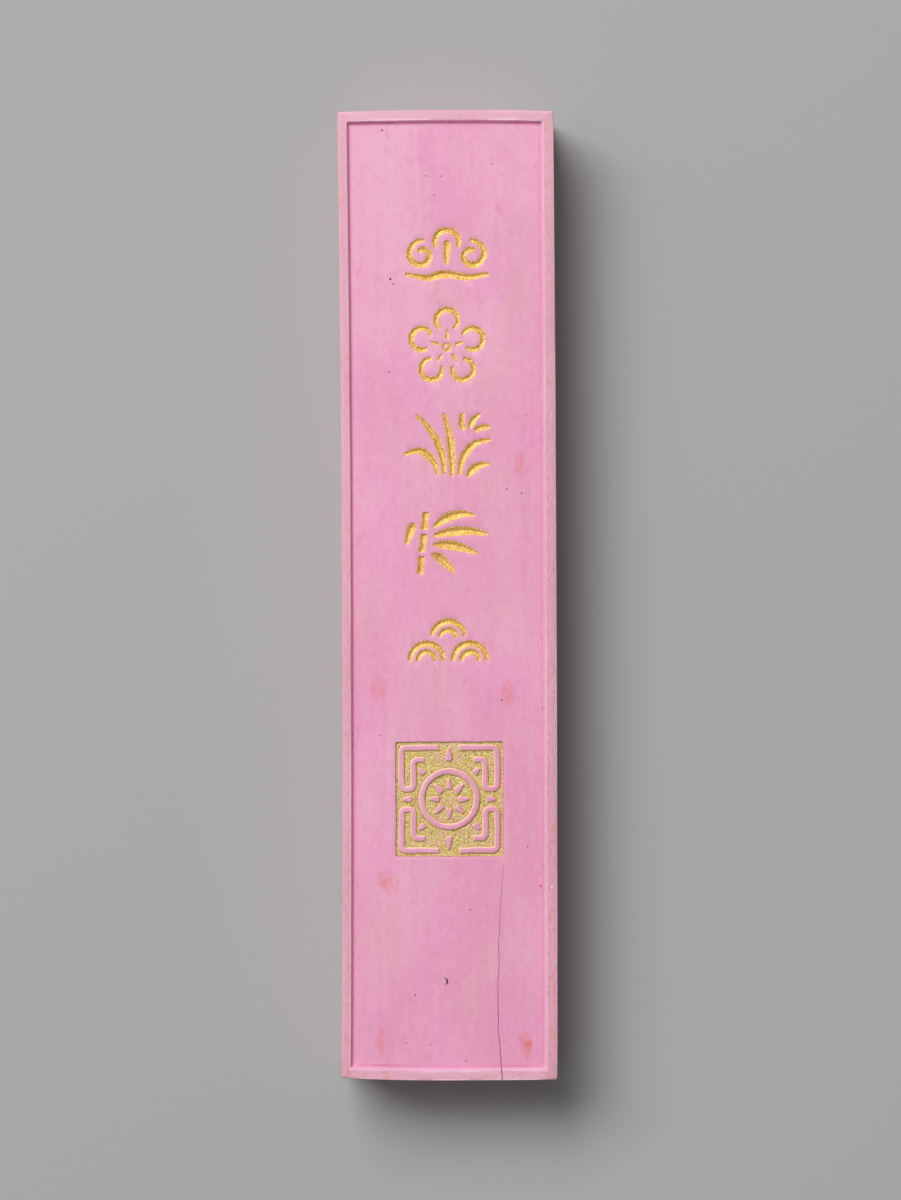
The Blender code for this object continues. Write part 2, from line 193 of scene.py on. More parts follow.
class Value:
    """A shader socket that takes part in arithmetic."""

    def __init__(self, nodes: "Nodes", socket: bpy.types.NodeSocket) -> None:
        """Wrap a socket of a node tree."""
        self.nodes = nodes
        self.socket = socket

    def _maths(self, operation: str, *operands: "Value | float") -> "Value":
        """Result of a Math node on these operands."""
        return self.nodes.add("ShaderNodeMath", {"operation": operation}, dict(enumerate(operands)))

    def __add__(self, other: "Value | float") -> "Value":
        """Sum."""
        return self._maths("ADD", self, other)

    def __radd__(self, other: float) -> "Value":
        """Sum with a number on the left."""
        return self._maths("ADD", other, self)

    def __sub__(self, other: "Value | float") -> "Value":
        """Difference."""
        return self._maths("SUBTRACT", self, other)

    def __rsub__(self, other: float) -> "Value":
        """Difference from a number on the left."""
        return self._maths("SUBTRACT", other, self)

    def __mul__(self, other: "Value | float") -> "Value":
        """Product."""
        return self._maths("MULTIPLY", self, other)

    def clamp(self) -> "Value":
        """This value kept between 0 and 1."""
        return self.nodes.add("ShaderNodeClamp", {}, {"Value": self})

    def ramp(self, low: float, high: float) -> "Value":
        """Smooth rise from 0 at low to 1 at high, or a fall where low is the larger.

        Args:
            low: Value that gives 0.
            high: Value that gives 1.

        Returns:
            The eased value.
        """
        first, last = (low, high) if low < high else (high, low)
        eased = self.nodes.add(
            "ShaderNodeMapRange",
            {"interpolation_type": "SMOOTHSTEP"},
            {"Value": self, "From Min": first, "From Max": last},
        )
        return eased if low < high else 1.0 - eased


class Nodes:
    """A node tree that grows by one node at a time."""

    def __init__(self, tree: bpy.types.NodeTree) -> None:
        """Work on this tree."""
        self.tree = tree

    def add(
        self,
        kind: str,
        settings: dict[str, object],
        sockets: dict[str | int, object],
        output: str | int = 0,
    ) -> Value:
        """Add a node.

        Args:
            kind: Blender's type of the node.
            settings: Properties of the node, set first.
            sockets: Values or links of its inputs, by name or index.
            output: The output to return.

        Returns:
            That output.
        """
        node = self.tree.nodes.new(kind)
        for key, setting in settings.items():
            setattr(node, key, setting)
        for key, given in sockets.items():
            self.feed(node.inputs[key], given)
        return Value(self, node.outputs[output])

    def feed(self, socket: bpy.types.NodeSocket, given: object) -> None:
        """Link a value to a socket, or set the socket's own number or colour."""
        if isinstance(given, Value):
            self.tree.links.new(given.socket, socket)
        elif isinstance(given, tuple) and len(given) == 3 and socket.type == "RGBA":
            socket.default_value = (*given, 1.0)
        else:
            socket.default_value = given

    def mix(self, factor: Value | float, first: Value | Colour, second: Value | Colour) -> Value:
        """Colour between two colours."""
        sockets = {"Factor": factor, 6: first, 7: second}
        return self.add("ShaderNodeMix", {"data_type": "RGBA"}, sockets, 2)

    def tint(self, under: Value | Colour, value: Value, tint: Tint, where: Value | float = 1.0) -> Value:
        """Colour with a tint laid over it.

        Args:
            under: The colour below.
            value: The value that the tint follows.
            tint: The tint.
            where: Mask of the places that take it.

        Returns:
            The tinted colour.
        """
        cover = value.ramp(tint.low, tint.high) * (where * tint.strength)
        return self.mix(cover, under, tint.colour)


class Shader(Nodes):
    """Node tree of one material, with its Principled shader."""

    SPECK_CORE = 0.4

    def __init__(self, name: str) -> None:
        """Start a material of this name."""
        self.material = bpy.data.materials.new(name)
        self.material.use_nodes = True
        super().__init__(self.material.node_tree)
        self.principled = self.tree.nodes["Principled BSDF"]
        self.place = self.add("ShaderNodeTexCoord", {}, {}, "Object")
        self.known: dict[Pattern | str, Value] = {}

    def set(self, **sockets: object) -> None:
        """Feed inputs of the Principled shader, with underscores for spaces in their names."""
        for name, given in sockets.items():
            self.feed(self.principled.inputs[name.replace("_", " ")], given)

    def scaled(self, scale: Triple) -> Value:
        """Object coordinates in millimetres, scaled along each axis."""
        factors = tuple(s / MM for s in scale)
        return self.add("ShaderNodeMapping", {}, {"Vector": self.place, "Scale": factors}, "Vector")

    def noise(self, pattern: Pattern) -> Value:
        """Cloudy noise about 0.5, made once for each pattern."""
        if pattern not in self.known:
            sockets = {
                "Vector": self.scaled(pattern.fineness),
                "Scale": 1.0 / pattern.size,
                "Detail": pattern.detail,
                "W": pattern.seed,
            }
            settings = {"noise_dimensions": "4D"}
            self.known[pattern] = self.add("ShaderNodeTexNoise", settings, sockets, "Fac")
        return self.known[pattern]

    def attribute(self, name: str) -> Value:
        """A value stored on the mesh's points, read once for each name."""
        if name not in self.known:
            self.known[name] = self.add("ShaderNodeAttribute", {"attribute_name": name}, {}, "Fac")
        return self.known[name]

    def specks(self, specks: Specks) -> Value:
        """Mask of small round specks, 1 at the middle of a speck."""
        settings = {"voronoi_dimensions": "4D", "feature": "F1"}
        sockets = {"Vector": self.scaled((1.0, 1.0, 1.0)), "Scale": 1.0 / specks.pitch, "W": specks.seed}
        away = self.add("ShaderNodeTexVoronoi", settings, sockets, "Distance")
        return away.ramp(specks.share, specks.share * self.SPECK_CORE)

    def along(self, way: Triple) -> Value:
        """How far a place lies along a direction, for a slope of colour.

        Args:
            way: Rise per metre along each axis.

        Returns:
            The height of the slope.
        """
        settings = {"operation": "DOT_PRODUCT"}
        return self.add("ShaderNodeVectorMath", settings, {0: self.place, 1: way}, "Value")

    def away_from(self, spot: Spot) -> Value:
        """Distance from a spot's middle, which is 1 at the spot's reach."""
        middle, reach = (spot.x * MM, spot.y * MM, 0.0), (spot.across * MM, spot.along * MM, 1.0)
        sockets = {"Vector": self.place, "Location": middle, "Scale": reach}
        local = self.add("ShaderNodeMapping", {"vector_type": "TEXTURE"}, sockets, "Vector")
        return self.add("ShaderNodeVectorMath", {"operation": "LENGTH"}, {0: local}, "Value")

    def bump(self, height: Value, distance: float, strength: float = 1.0) -> None:
        """Feed the shader's normal from a height, with its full height in metres."""
        sockets = {"Height": height, "Distance": distance, "Strength": strength}
        self.set(Normal=self.add("ShaderNodeBump", {}, sockets, "Normal"))


@dataclass(frozen=True)
class InkPaste:
    """Dried pink ink: matt, cloudy, faintly streaked along the stick, stained and specked, with painted light
    and shade on its panels, rims and walls.
    """

    pink: Colour = srgb(224, 151, 182)
    pale_pink: Colour = srgb(234, 174, 199)
    deep_pink: Colour = srgb(213, 136, 167)
    salmon: Colour = srgb(220, 116, 112)
    rim_pink: Colour = srgb(218, 157, 174)
    rim_pale: Colour = srgb(229, 174, 190)
    rim_end: Colour = srgb(236, 182, 206)
    # Painted highlight on the walls that face the light.
    lit_wall: Colour = srgb(222, 168, 196)
    # Darker band at the foot of the walls that face the light: partly a dirty seam, partly painted shade.
    lit_foot_dirt_and_shade: Colour = srgb(204, 122, 156)
    # Painted reflected pink light that lifts the shade in the seams of the walls that face away from the
    # light.
    shaded_seam_bounce_light: Colour = srgb(255, 150, 196)
    gilt: Colour = srgb(248, 224, 136)
    dirt: Colour = srgb(110, 44, 74)
    # Painted shade at the bottom of the crack, the nick and the pores.
    pit_shade: Colour = srgb(84, 40, 52)

    clouds: Pattern = Pattern(7.0, 4.0, (1.0, 0.5, 1.0))
    streaks: Pattern = Pattern(0.9, 4.0, (1.0, 0.05, 1.0), 2.0)
    mottle: Pattern = Pattern(0.55, 3.0, (1.0, 0.6, 1.0), 5.0)
    grain: Pattern = Pattern(0.16, 2.0, seed=11.0)
    dust: Pattern = Pattern(4.0, 4.0, (1.0, 0.45, 1.0), 23.0)
    wipes: Pattern = Pattern(0.35, 3.0, (1.0, 0.04, 1.0), 29.0)
    ragged: Pattern = Pattern(0.9, 3.0, (1.0, 0.5, 1.0), 9.0)
    slashes: Pattern = Pattern(0.32, 3.0, (1.0, 0.35, 1.0), 31.0)
    gatherings: Pattern = Pattern(3.5, 3.0, seed=7.0)
    drawn_along: Pattern = Pattern(0.12, 4.0, (1.0, 0.22, 1.0), 17.0)
    drawn_across: Pattern = Pattern(0.12, 4.0, (0.22, 1.0, 1.0), 17.0)
    rust: Pattern = Pattern(0.9, 4.0, (1.0, 0.7, 1.0), 21.0)
    flecks: Pattern = Pattern(0.11, 2.0, seed=13.0)
    grime: Pattern = Pattern(0.4, 3.0, seed=4.0)

    # Pale clouds, together with painted light that pales the panels towards the upper left.
    cloudy_and_painted_light: Tint = Tint(pale_pink, 0.25, 0.85)
    dusty: Tint = Tint(srgb(222, 165, 178), 0.48, 0.7, 0.6)
    clean: Tint = Tint(srgb(230, 148, 191), 0.5, 0.3, 0.4)
    streaked: Tint = Tint(deep_pink, 0.45, 0.8, 0.3)
    wiped: Tint = Tint(pale_pink, 0.52, 0.75, 0.4)
    mottled_deep: Tint = Tint(deep_pink, 0.5, 0.75, 0.32)
    mottled_pale: Tint = Tint(pale_pink, 0.5, 0.25, 0.34)
    grainy: Tint = Tint(deep_pink, 0.45, 0.75, 0.32)
    # Pale clouds on the rims, together with painted light that pales them towards the upper left.
    rim_cloudy_and_painted_light: Tint = Tint(rim_pale, 0.2, 0.9)
    rim_tanned: Tint = Tint(srgb(196, 134, 143), 0.44, 0.66)
    rim_scraped: Tint = Tint(rim_pale, 0.46, 0.3, 0.55)
    rim_rusty: Tint = Tint(srgb(208, 138, 118), 0.56, 0.74, 0.45)
    # Pale edges: partly wear, partly a painted highlight.
    arris_wear_and_highlight: Tint = Tint(srgb(246, 210, 220), 0.3, 0.55, 0.8)
    seam_grimy: Tint = Tint(dirt, 0.58, 0.7, 0.4)

    # Painted light: rise of the panels' paleness per metre towards the upper left, where the lamp hangs.
    painted_light_slope: Triple = (-8.4, 2.275, 0.0)
    # Painted light: rise of the rims' paleness per metre towards the upper left, where the lamp hangs.
    rim_light_slope: Triple = (-12.0, 5.0, 0.0)
    rim_light_share: float = 0.4
    wiped_dust: Reach = (0.4, 0.65)
    raggedness: float = 1.6
    slash_reach: Reach = (0.4, 0.62)
    slash_share: float = 0.65
    end_share: float = 0.4
    gathered_reach: Reach = (0.2, 0.9)
    tan_gathered: float = 0.5
    tan_least: float = 0.2
    tan_end_loss: float = 0.45
    fleck_reach: Reach = (0.36, 0.6)
    fleck_share: float = 0.65
    gilt_least: float = 0.3
    wall_share: float = 0.8
    foot_share: float = 0.6
    foot_end_gain: float = 0.4
    seam_share: float = 0.85
    pit_share: float = 0.65
    stain_edge: Reach = (1.0, 0.2)
    dot_edge: Reach = (1.0, 0.6)
    roughness: float = 0.6
    roughness_spread: float = 0.2
    shine: float = 0.35
    grain_relief: float = 0.6
    streak_relief: float = 0.3
    relief: float = 0.025 * MM
    relief_strength: float = 0.7

    panel_specks: Specks = Specks(1.7, 0.055, 1.0, 0.7)
    rim_specks: Specks = Specks(1.2, 0.07, 6.0, 0.5)
    dots: tuple[Spot, ...] = (
        Spot(9.15, -29.15, 0.11, 0.13, srgb(180, 0, 112)),
        Spot(10.25, -29.2, 0.17, 0.07, srgb(255, 244, 246)),
    )
    stains: tuple[Spot, ...] = (
        Spot(7.7, -45.2, 0.9, 1.9, salmon),
        Spot(-6.1, -28.6, 1.6, 1.5, salmon, 0.6),
        Spot(-6.9, -44.6, 0.7, 1.9, salmon, 0.55),
        Spot(-7.3, -9.3, 1.4, 1.7, salmon, 0.5),
        Spot(5.9, -9.9, 1.0, 1.7, salmon, 0.6),
        Spot(7.2, 13.2, 0.8, 1.5, salmon, 0.6),
        Spot(5.6, 38.6, 1.6, 1.6, salmon, 0.2),
    )

    def panel_colour(self, s: Shader) -> Value:
        """Colour of the panels, before their stains, with painted light that pales them towards the upper
        left, where the lamp hangs.
        """
        dust, mottle = s.noise(self.dust), s.noise(self.mottle)
        # Painted light: the panels pale towards the upper left, where the lamp hangs.
        colour = s.tint(self.pink, s.noise(self.clouds) + s.along(self.painted_light_slope), self.cloudy_and_painted_light)
        colour = s.tint(colour, dust, self.dusty)
        colour = s.tint(colour, dust, self.clean)
        colour = s.tint(colour, s.noise(self.streaks), self.streaked)
        colour = s.tint(colour, s.noise(self.wipes), self.wiped, dust.ramp(*self.wiped_dust))
        colour = s.tint(colour, mottle, self.mottled_deep)
        return s.tint(colour, mottle, self.mottled_pale)

    def stained_colour(self, s: Shader, colour: Value) -> Value:
        """Colour of the panels with their ragged stains."""
        ragged = (s.noise(self.ragged) - NOISE_MIDDLE) * self.raggedness
        slashes = s.noise(self.slashes).ramp(*self.slash_reach)
        slashed = slashes * self.slash_share + (1.0 - self.slash_share)
        for spot in self.stains:
            stain = Tint(spot.colour, *self.stain_edge, spot.strength)
            colour = s.tint(colour, s.away_from(spot) + ragged, stain, slashed)
        return colour

    def rim_colour(self, s: Shader) -> Value:
        """Colour of the rims and the sides, with painted light that pales them towards the upper left, and
        pale edges that are partly wear and partly a painted highlight.
        """
        clouds, end, rim_light_slope = s.noise(self.clouds), s.attribute("end"), s.along(self.rim_light_slope)
        # Painted light: the rims pale towards the upper left, where the lamp hangs.
        colour = s.tint(self.rim_pink, clouds + rim_light_slope * self.rim_light_share, self.rim_cloudy_and_painted_light)
        colour = s.mix(end * self.end_share, colour, self.rim_end)
        # Tan dirt, which the same slope keeps off the upper left, so that it also paints shade on the lower
        # right.
        gathered = (s.noise(self.gatherings) - rim_light_slope).ramp(*self.gathered_reach)
        tan = (gathered * self.tan_gathered + self.tan_least) * (1.0 - end * self.tan_end_loss)
        drawn = s.noise(self.drawn_along) * (1.0 - end) + s.noise(self.drawn_across) * end
        colour = s.tint(colour, drawn, self.rim_tanned, tan)
        colour = s.tint(colour, drawn, self.rim_scraped)
        colour = s.tint(colour, s.noise(self.rust), self.rim_rusty)
        # Pale edges of the rims: partly wear, partly a painted highlight.
        return s.tint(colour, clouds, self.arris_wear_and_highlight, s.attribute("arris"))

    def relief_colour(self, s: Shader, colour: Value) -> Value:
        """Colour with the gold on the medallion's flanks, a painted highlight on the walls that face the
        light, a darker band at their foot that is partly a dirty seam and partly painted shade, painted
        reflected pink light in the seams of the walls that face away from it, and grime in those seams.
        """
        flecks = s.noise(self.flecks).ramp(*self.fleck_reach)
        gilded = s.attribute("gilt") * (flecks * self.fleck_share + self.gilt_least)
        wall, foot, seam = (s.attribute(name) for name in ("lit_wall", "lit_foot_dirt_and_shade", "shaded_seam_bounce_light"))
        colour = s.mix(gilded, colour, self.gilt)
        # Painted highlight on the walls that face the light.
        colour = s.mix(wall * self.wall_share, colour, self.lit_wall)
        # Darker band at the foot of the lit walls: partly a dirty seam, partly painted shade.
        by_foot = foot * (s.attribute("end") * self.foot_end_gain + self.foot_share)
        colour = s.mix(by_foot, colour, self.lit_foot_dirt_and_shade)
        # Painted reflected pink light in the shaded seams.
        colour = s.mix(seam * self.seam_share, colour, self.shaded_seam_bounce_light)
        return s.tint(colour, s.noise(self.grime), self.seam_grimy, foot + seam)

    def marked_colour(self, s: Shader, colour: Value) -> Value:
        """Colour with the specks, painted shade at the bottom of the pits, and the dots."""
        colour = s.mix(s.specks(self.panel_specks) * self.panel_specks.strength, colour, self.dirt)
        on_rim = s.specks(self.rim_specks) * s.attribute("rim")
        colour = s.mix(on_rim * self.rim_specks.strength, colour, self.dirt)
        # Painted shade at the bottom of the crack, the nick and the pores.
        colour = s.mix(s.attribute("pit_shade") * self.pit_share, colour, self.pit_shade)
        for spot in self.dots:
            colour = s.tint(colour, s.away_from(spot), Tint(spot.colour, *self.dot_edge, spot.strength))
        return colour

    def material(self) -> bpy.types.Material:
        """Material of the block."""
        s = Shader("pink ink")
        colour = self.stained_colour(s, self.panel_colour(s))
        colour = s.mix(s.attribute("rim"), colour, self.rim_colour(s))
        colour = self.marked_colour(s, self.relief_colour(s, colour))
        grain = s.noise(self.grain)
        colour = s.tint(colour, grain, self.grainy)
        rough = self.roughness + (s.noise(self.clouds) - NOISE_MIDDLE) * self.roughness_spread
        s.set(Base_Color=colour, Roughness=rough, Specular_IOR_Level=self.shine)
        height = grain * self.grain_relief + s.noise(self.mottle) + s.noise(self.streaks) * self.streak_relief
        s.bump(height, self.relief, self.relief_strength)
        return s.material


@dataclass(frozen=True)
class GoldPaint:
    """Grainy gold paint, worn in places to the ink's pink.

    Attributes:
        gilding: Where the paint lies.
        tone: Its main colour.
        glint: Colour of the brightest grains.
        flake_shade: Colour of the darker flakes, painted shade among the grains.
        grain_size: Size of a grain in millimetres.
        wear: How much of the gold has worn off.
    """

    gilding: Gilding
    tone: Colour
    glint: Colour
    # Painted shade: colour of the darker flakes.
    flake_shade: Colour
    grain_size: float
    wear: float
    glint_reach: Reach = (0.5, 0.64)
    flake_shade_reach: Reach = (0.46, 0.32)
    flake_ratio: float = 1.8
    detail: float = 2.0
    patches: Pattern = Pattern(2.6, 2.0, seed=2.0)
    patch_reach: Reach = (0.42, 0.66)
    rubs: Pattern = Pattern(0.17, 2.0, seed=7.0)
    rub_reach: Reach = (0.52, 0.62)
    rub_least: float = 0.35
    bare: Colour = srgb(226, 164, 182)
    roughness: float = 0.55
    roughness_spread: float = 0.3
    metallic: float = 0.45
    flake_relief: float = 0.7
    relief: float = 0.05 * MM
    relief_strength: float = 0.9

    def material(self) -> bpy.types.Material:
        """Material of a film of gold."""
        s = Shader(f"gold paint on {self.gilding.value}")
        grain = s.noise(Pattern(self.grain_size, self.detail, seed=1.0))
        flakes = s.noise(Pattern(self.grain_size * self.flake_ratio, self.detail, seed=4.0))
        patches = s.noise(self.patches).ramp(*self.patch_reach) + self.rub_least
        worn = (s.noise(self.rubs).ramp(*self.rub_reach) * patches * self.wear).clamp()
        colour = s.tint(self.tone, grain, Tint(self.glint, *self.glint_reach))
        # Painted shade on the darker flakes.
        colour = s.tint(colour, flakes, Tint(self.flake_shade, *self.flake_shade_reach))
        colour = s.mix(worn, colour, self.bare)
        rough = self.roughness + (grain - NOISE_MIDDLE) * self.roughness_spread
        s.set(Base_Color=colour, Roughness=rough, Metallic=(1.0 - worn) * self.metallic)
        s.bump(grain + flakes * self.flake_relief, self.relief, self.relief_strength)
        return s.material


GOLD_PAINTS = (
    GoldPaint(
        Gilding.STROKE,
        tone=srgb(224, 178, 88),
        glint=srgb(252, 220, 138),
        flake_shade=srgb(198, 140, 56),
        grain_size=0.13,
        wear=0.2,
    ),
    GoldPaint(
        Gilding.GROUND,
        tone=srgb(194, 169, 85),
        glint=srgb(255, 238, 176),
        flake_shade=srgb(160, 126, 55),
        grain_size=0.1,
        wear=0.8,
    ),
)


@dataclass
class Drying:
    """How the stick differs from its drawing: a hollow left side, a full right side with a broader rim, a
    right foot corner that hangs lower, and lines cut by hand.
    """

    half_width: float
    half_length: float
    hollow: float = 0.25 * MM
    fullness: float = 0.12 * MM
    spread: float = 0.22 * MM
    spread_from: float = 0.7
    spread_most: Reach = (0.89, 0.935)
    drop: float = 0.27 * MM
    drop_rise: float = 6.0 * MM
    sway: float = 0.07 * MM
    sway_length: float = 1.1 * MM
    plain_margin: float = 2.2 * MM
    sway_rise: float = 2.0 * MM

    def sway_share(self, point: Vector) -> float:
        """Share of the hand's unevenness at a point: none near the rims, all of it in the ornament."""
        inside = min(self.half_width - abs(point.x), self.half_length - abs(point.y)) - self.plain_margin
        return min(1.0, max(0.0, inside / self.sway_rise))

    def spread_share(self, across: float) -> float:
        """Share of the right rim's spread at a share of the half width: all of it at the rim's inner wall."""
        inner, outer = self.spread_most
        rise = (across - self.spread_from) / (inner - self.spread_from)
        fall = (1.0 - across) / (1.0 - outer)
        return max(0.0, min(1.0, rise, fall))

    def drop_share(self, point: Vector) -> float:
        """Share of the right foot corner's drop at a point: none above the foot, all of it at the corner."""
        near = max(0.0, 1.0 - (point.y + self.half_length) / self.drop_rise)
        return min(1.0, near) * max(0.0, min(1.0, point.x / self.half_width)) ** 2

    def moved(self, point: Vector) -> Vector:
        """Place of a point of the finished stick.

        Args:
            point: Its place as drawn.

        Returns:
            Its place now.
        """
        along = min(1.0, abs(point.y) / self.half_length)
        across = point.x / self.half_width
        shift = -self.fullness * along**2 * across if across > 0 else -self.hollow * (1 - along**2) * across
        shift -= self.spread * self.spread_share(across)
        flat = Vector((point.x, point.y, 0.0))
        sway = noise.noise_vector(flat / self.sway_length) * self.sway * self.sway_share(point)
        drop = self.drop * self.drop_share(point)
        return Vector((point.x + shift + sway.x, point.y + sway.y - drop, point.z))


@dataclass(frozen=True)
class Rounding:
    """Width of a rounded edge and the facets across it."""

    radius: float
    segments: int


class Draft:
    """A working copy of a CAD node's mesh."""

    WELD = 1e-7
    CLOSE = 1e-6
    FLAT = math.radians(0.5)

    def __init__(self, node: str) -> None:
        """Copy a node's triangles and merge them into one surface."""
        self.mesh = bmesh.new()
        self.mesh.from_mesh(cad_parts[node].data)
        bmesh.ops.remove_doubles(self.mesh, verts=self.mesh.verts, dist=self.WELD)

    def refine(self, longest: float) -> None:
        """Halve the edges of triangles, the longest first, until none is longer than this.

        Args:
            longest: Length past which an edge is halved.
        """
        while True:
            lengths = {edge: edge.calc_length() for edge in self.mesh.edges}
            long = [edge for edge in lengths if lengths[edge] > longest]
            if not long:
                return
            halved, split = [], set()
            for edge in sorted(long, key=lengths.get, reverse=True):
                if split.isdisjoint(edge.link_faces):
                    halved.append(edge)
                    split.update(edge.link_faces)
            bmesh.ops.subdivide_edges(self.mesh, edges=halved, cuts=1, use_single_edge=True)

    def dissolve(self) -> None:
        """Join the triangles of each flat face."""
        bmesh.ops.dissolve_limit(
            self.mesh, angle_limit=self.FLAT, verts=self.mesh.verts[:], edges=self.mesh.edges[:]
        )

    def round_edges(
        self,
        chosen: Callable[[Vector], bool],
        rounding: Rounding,
        least_angle: float,
        clamp: bool = True,
    ) -> None:
        """Round the sharp edges of a region.

        Args:
            chosen: Whether an edge's middle lies in the region.
            rounding: The rounding.
            least_angle: Angle past which an edge is sharp.
            clamp: Whether close edges make the rounding narrower everywhere.
        """
        edges = []
        for edge in self.mesh.edges:
            middle = (edge.verts[0].co + edge.verts[1].co) / 2
            if edge.is_manifold and edge.calc_face_angle() > least_angle and chosen(middle):
                edges.append(edge)
        bmesh.ops.bevel(
            self.mesh,
            geom=edges,
            offset=rounding.radius,
            offset_type="OFFSET",
            segments=rounding.segments,
            profile=0.5,
            affect="EDGES",
            clamp_overlap=clamp,
            material=-1,
        )

    def slice(self, axis: int, places: list[float]) -> None:
        """Cut edges across the surface at places along an axis, which gives it points to move."""
        normal = Vector((0.0, 0.0, 0.0))
        normal[axis] = 1.0
        for place in places:
            everything = self.mesh.verts[:] + self.mesh.edges[:] + self.mesh.faces[:]
            bmesh.ops.bisect_plane(
                self.mesh, geom=everything, dist=self.WELD, plane_co=normal * place, plane_no=normal
            )

    def subtract(self, cutter: bpy.types.Mesh) -> None:
        """Cut a closed mesh out of the draft."""
        body = bpy.data.meshes.new("uncut")
        self.mesh.to_mesh(body)
        blank, tool = (placed(mesh.name, mesh) for mesh in (body, cutter))
        boolean = blank.modifiers.new("cut", "BOOLEAN")
        boolean.object = tool
        boolean.solver = "EXACT"
        graph = bpy.context.evaluated_depsgraph_get()
        self.mesh.clear()
        self.mesh.from_mesh(blank.evaluated_get(graph).to_mesh())
        for mesh in (body, cutter):
            bpy.data.meshes.remove(mesh)

    def merge_close(self) -> None:
        """Merge points that lie too close for a face between them."""
        bmesh.ops.remove_doubles(self.mesh, verts=self.mesh.verts[:], dist=self.CLOSE)

    def triangulate(self) -> None:
        """Make every face a triangle."""
        bmesh.ops.triangulate(self.mesh, faces=self.mesh.faces[:])

    def store(self, name: str, value_at: Callable[[Vector], float]) -> None:
        """Keep a value on each point for the material."""
        layer = self.mesh.verts.layers.float.new(name)
        for vert in self.mesh.verts:
            vert[layer] = value_at(vert.co)

    def move(self, moved: Callable[[Vector], Vector]) -> None:
        """Put each point at its new place."""
        for vert in self.mesh.verts:
            vert.co = moved(vert.co)

    def finish(self, name: str, sharp: float) -> bpy.types.Object:
        """Turn the draft into an object.

        Args:
            name: Name of the object.
            sharp: Angle past which an edge stays sharp.

        Returns:
            The object, at the origin.
        """
        bmesh.ops.recalc_face_normals(self.mesh, faces=self.mesh.faces)
        mesh = baked(self.mesh, name)
        stale_normals = mesh.attributes.get("custom_normal")
        if stale_normals:
            mesh.attributes.remove(stale_normals)
        mesh.shade_smooth()
        mesh.set_sharp_from_angle(angle=sharp)
        return placed(name, mesh)


def dress(piece: bpy.types.Object, material: bpy.types.Material, node: str, slot: Slot) -> None:
    """Give a piece its material, and let it stand for its CAD node.

    Args:
        piece: The piece.
        material: Its material.
        node: The CAD node that it replaces.
        slot: The record's slot of its material; not used.
    """
    piece.data.materials.append(material)
    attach(piece, BODY)
    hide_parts(node)


